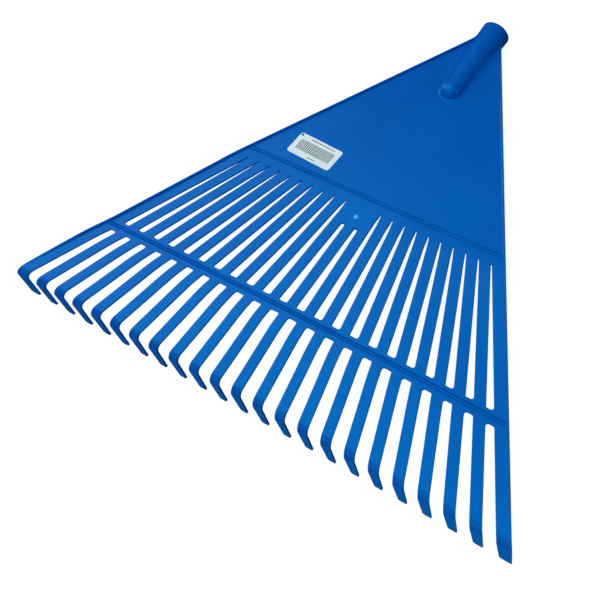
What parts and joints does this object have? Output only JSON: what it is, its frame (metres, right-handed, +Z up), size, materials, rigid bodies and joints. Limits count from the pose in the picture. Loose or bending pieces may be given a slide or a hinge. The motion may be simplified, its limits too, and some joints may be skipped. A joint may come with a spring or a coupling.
{
  "type": "leaf rake head",
  "caption": "Fan-shaped plastic leaf rake head: flat triangular blade with a handle socket, a slotted fan tied by a crossbar, and springy hooked tines.",
  "frame": {"origin": "centre of the handle socket's mouth, on the handle's axis", "axes": "+X across the fan, +Y from the tines towards the handle, +Z up from the ground; the head lies on its hooked tips and on the lower edge of the socket's mouth"},
  "size_m": [0.5312, 0.4454, 0.045],
  "materials": {
    "blue_plastic": "satin",
    "label_paper": "matte"
  },
  "bodies": {
    "head": {"blade": "blue_plastic", "socket": "blue_plastic", "upper_bead": "blue_plastic", "spokes": "blue_plastic", "crossbar": "blue_plastic", "crossbar_bead": "blue_plastic", "left_rim": "blue_plastic", "right_rim": "blue_plastic", "gate_nub": "blue_plastic", "label": "label_paper"},
    "tine_01": {"tine_01": "blue_plastic"},
    "tine_02": {"tine_02": "blue_plastic"},
    "tine_03": {"tine_03": "blue_plastic"},
    "tine_04": {"tine_04": "blue_plastic"},
    "tine_05": {"tine_05": "blue_plastic"},
    "tine_06": {"tine_06": "blue_plastic"},
    "tine_07": {"tine_07": "blue_plastic"},
    "tine_08": {"tine_08": "blue_plastic"},
    "tine_09": {"tine_09": "blue_plastic"},
    "tine_10": {"tine_10": "blue_plastic"},
    "tine_11": {"tine_11": "blue_plastic"},
    "tine_12": {"tine_12": "blue_plastic"},
    "tine_13": {"tine_13": "blue_plastic"},
    "tine_14": {"tine_14": "blue_plastic"},
    "tine_15": {"tine_15": "blue_plastic"},
    "tine_16": {"tine_16": "blue_plastic"},
    "tine_17": {"tine_17": "blue_plastic"},
    "tine_18": {"tine_18": "blue_plastic"},
    "tine_19": {"tine_19": "blue_plastic"},
    "tine_20": {"tine_20": "blue_plastic"},
    "tine_21": {"tine_21": "blue_plastic"},
    "tine_22": {"tine_22": "blue_plastic"},
    "tine_23": {"tine_23": "blue_plastic"}
  },
  "joints": [
    {"name": "tine_01_flex", "type": "hinge", "parent": "head", "child": "tine_01", "pos_m": [-0.21371, -0.36679, 0.0231], "axis": [-1, 0, 0], "range_deg": [-8, 14], "stiffness_Nm_per_rad": 0.36},
    {"name": "tine_02_flex", "type": "hinge", "parent": "head", "child": "tine_02", "pos_m": [-0.19429, -0.36669, 0.02424], "axis": [-1, 0, 0], "range_deg": [-8, 14], "stiffness_Nm_per_rad": 0.36},
    {"name": "tine_03_flex", "type": "hinge", "parent": "head", "child": "tine_03", "pos_m": [-0.17486, -0.3666, 0.02527], "axis": [-1, 0, 0], "range_deg": [-8, 14], "stiffness_Nm_per_rad": 0.36},
    {"name": "tine_04_flex", "type": "hinge", "parent": "head", "child": "tine_04", "pos_m": [-0.15543, -0.36651, 0.02619], "axis": [-1, 0, 0], "range_deg": [-8, 14], "stiffness_Nm_per_rad": 0.36},
    {"name": "tine_05_flex", "type": "hinge", "parent": "head", "child": "tine_05", "pos_m": [-0.136, -0.36644, 0.02701], "axis": [-1, 0, 0], "range_deg": [-8, 14], "stiffness_Nm_per_rad": 0.36},
    {"name": "tine_06_flex", "type": "hinge", "parent": "head", "child": "tine_06", "pos_m": [-0.11657, -0.36638, 0.02771], "axis": [-1, 0, 0], "range_deg": [-8, 14], "stiffness_Nm_per_rad": 0.36},
    {"name": "tine_07_flex", "type": "hinge", "parent": "head", "child": "tine_07", "pos_m": [-0.09714, -0.36633, 0.02831], "axis": [-1, 0, 0], "range_deg": [-8, 14], "stiffness_Nm_per_rad": 0.36},
    {"name": "tine_08_flex", "type": "hinge", "parent": "head", "child": "tine_08", "pos_m": [-0.07771, -0.36629, 0.0288], "axis": [-1, 0, 0], "range_deg": [-8, 14], "stiffness_Nm_per_rad": 0.36},
    {"name": "tine_09_flex", "type": "hinge", "parent": "head", "child": "tine_09", "pos_m": [-0.05829, -0.36625, 0.02918], "axis": [-1, 0, 0], "range_deg": [-8, 14], "stiffness_Nm_per_rad": 0.36},
    {"name": "tine_10_flex", "type": "hinge", "parent": "head", "child": "tine_10", "pos_m": [-0.03886, -0.36623, 0.02945], "axis": [-1, 0, 0], "range_deg": [-8, 14], "stiffness_Nm_per_rad": 0.36},
    {"name": "tine_11_flex", "type": "hinge", "parent": "head", "child": "tine_11", "pos_m": [-0.01943, -0.36621, 0.02961], "axis": [-1, 0, 0], "range_deg": [-8, 14], "stiffness_Nm_per_rad": 0.36},
    {"name": "tine_12_flex", "type": "hinge", "parent": "head", "child": "tine_12", "pos_m": [0, -0.36621, 0.02967], "axis": [-1, 0, 0], "range_deg": [-8, 14], "stiffness_Nm_per_rad": 0.36},
    {"name": "tine_13_flex", "type": "hinge", "parent": "head", "child": "tine_13", "pos_m": [0.01943, -0.36621, 0.02961], "axis": [-1, 0, 0], "range_deg": [-8, 14], "stiffness_Nm_per_rad": 0.36},
    {"name": "tine_14_flex", "type": "hinge", "parent": "head", "child": "tine_14", "pos_m": [0.03886, -0.36623, 0.02945], "axis": [-1, 0, 0], "range_deg": [-8, 14], "stiffness_Nm_per_rad": 0.36},
    {"name": "tine_15_flex", "type": "hinge", "parent": "head", "child": "tine_15", "pos_m": [0.05829, -0.36625, 0.02918], "axis": [-1, 0, 0], "range_deg": [-8, 14], "stiffness_Nm_per_rad": 0.36},
    {"name": "tine_16_flex", "type": "hinge", "parent": "head", "child": "tine_16", "pos_m": [0.07771, -0.36629, 0.0288], "axis": [-1, 0, 0], "range_deg": [-8, 14], "stiffness_Nm_per_rad": 0.36},
    {"name": "tine_17_flex", "type": "hinge", "parent": "head", "child": "tine_17", "pos_m": [0.09714, -0.36633, 0.02831], "axis": [-1, 0, 0], "range_deg": [-8, 14], "stiffness_Nm_per_rad": 0.36},
    {"name": "tine_18_flex", "type": "hinge", "parent": "head", "child": "tine_18", "pos_m": [0.11657, -0.36638, 0.02771], "axis": [-1, 0, 0], "range_deg": [-8, 14], "stiffness_Nm_per_rad": 0.36},
    {"name": "tine_19_flex", "type": "hinge", "parent": "head", "child": "tine_19", "pos_m": [0.136, -0.36644, 0.02701], "axis": [-1, 0, 0], "range_deg": [-8, 14], "stiffness_Nm_per_rad": 0.36},
    {"name": "tine_20_flex", "type": "hinge", "parent": "head", "child": "tine_20", "pos_m": [0.15543, -0.36651, 0.02619], "axis": [-1, 0, 0], "range_deg": [-8, 14], "stiffness_Nm_per_rad": 0.36},
    {"name": "tine_21_flex", "type": "hinge", "parent": "head", "child": "tine_21", "pos_m": [0.17486, -0.3666, 0.02527], "axis": [-1, 0, 0], "range_deg": [-8, 14], "stiffness_Nm_per_rad": 0.36},
    {"name": "tine_22_flex", "type": "hinge", "parent": "head", "child": "tine_22", "pos_m": [0.19429, -0.36669, 0.02424], "axis": [-1, 0, 0], "range_deg": [-8, 14], "stiffness_Nm_per_rad": 0.36},
    {"name": "tine_23_flex", "type": "hinge", "parent": "head", "child": "tine_23", "pos_m": [0.21371, -0.36679, 0.0231], "axis": [-1, 0, 0], "range_deg": [-8, 14], "stiffness_Nm_per_rad": 0.36}
  ]
}
